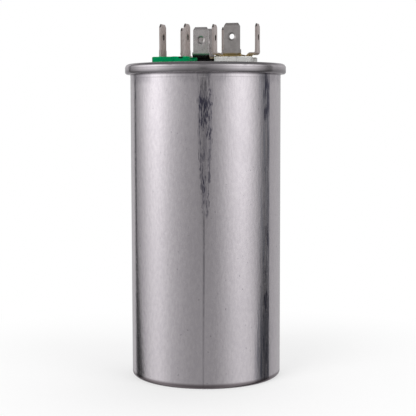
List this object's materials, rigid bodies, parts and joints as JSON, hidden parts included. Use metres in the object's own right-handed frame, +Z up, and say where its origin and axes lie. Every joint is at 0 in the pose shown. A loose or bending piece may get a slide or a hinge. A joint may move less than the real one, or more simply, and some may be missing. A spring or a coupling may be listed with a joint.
{
  "type": "motor run capacitor",
  "caption": "Round motor run capacitor: drawn aluminium can with a rolled rim, recessed cover and coloured plastic terminal bases with push-on tabs.",
  "frame": {"origin": "centre of the can's flat base", "axes": "+Z up along the can's axis, out of the terminal end; -Y is the side that the picture shows"},
  "size_m": [0.0642, 0.0642, 0.1404],
  "materials": {
    "drawn_aluminium": "bare drawn, fine upright draw lines, scuffed",
    "pressed_aluminium": "bare pressed sheet, satin",
    "sealing_compound": "matte",
    "green_plastic": "moulded, semi-gloss",
    "white_plastic": "moulded, semi-gloss",
    "black_plastic": "moulded, semi-gloss",
    "tinned_brass": "dull tin plate on brass, brushed",
    "rivet_metal": "tinned, satin",
    "gasket_rubber": "matte",
    "washer_plastic": "brown phenolic sheet",
    "cup_plastic": "natural moulded",
    "metallised_film": "wound metallised film",
    "wrap_film": "clear yellowish film",
    "sprayed_zinc": "rough sprayed metal",
    "lead_insulation": "insulated wire"
  },
  "bodies": {
    "root": {"can": "drawn_aluminium", "cover": "pressed_aluminium", "seam_compound": "sealing_compound", "lower_cup": "cup_plastic", "upper_cup": "cup_plastic", "winding_core": "cup_plastic", "fan_winding": "metallised_film", "compressor_winding": "metallised_film", "winding_divider": "wrap_film", "winding_wrap": "wrap_film", "common_contact": "sprayed_zinc", "fan_contact": "sprayed_zinc", "compressor_contact": "sprayed_zinc", "fan_terminal_base": "green_plastic", "compressor_terminal_base": "white_plastic", "common_terminal_base": "black_plastic", "fan_tab_strip": "tinned_brass", "compressor_wide_tab_strip": "tinned_brass", "compressor_single_tab_strip": "tinned_brass", "common_wide_tab_strip": "tinned_brass", "common_narrow_tab_strip": "tinned_brass", "fan_gasket": "gasket_rubber", "fan_inner_washer": "washer_plastic", "fan_solder_lug": "tinned_brass", "fan_rivet": "rivet_metal", "fan_lead": "lead_insulation", "compressor_gasket": "gasket_rubber", "compressor_inner_washer": "washer_plastic", "compressor_solder_lug": "tinned_brass", "compressor_rivet": "rivet_metal", "compressor_lead": "lead_insulation", "common_gasket": "gasket_rubber", "common_inner_washer": "washer_plastic", "common_solder_lug": "tinned_brass", "common_rivet": "rivet_metal", "common_lead": "lead_insulation"}
  },
  "joints": []
}
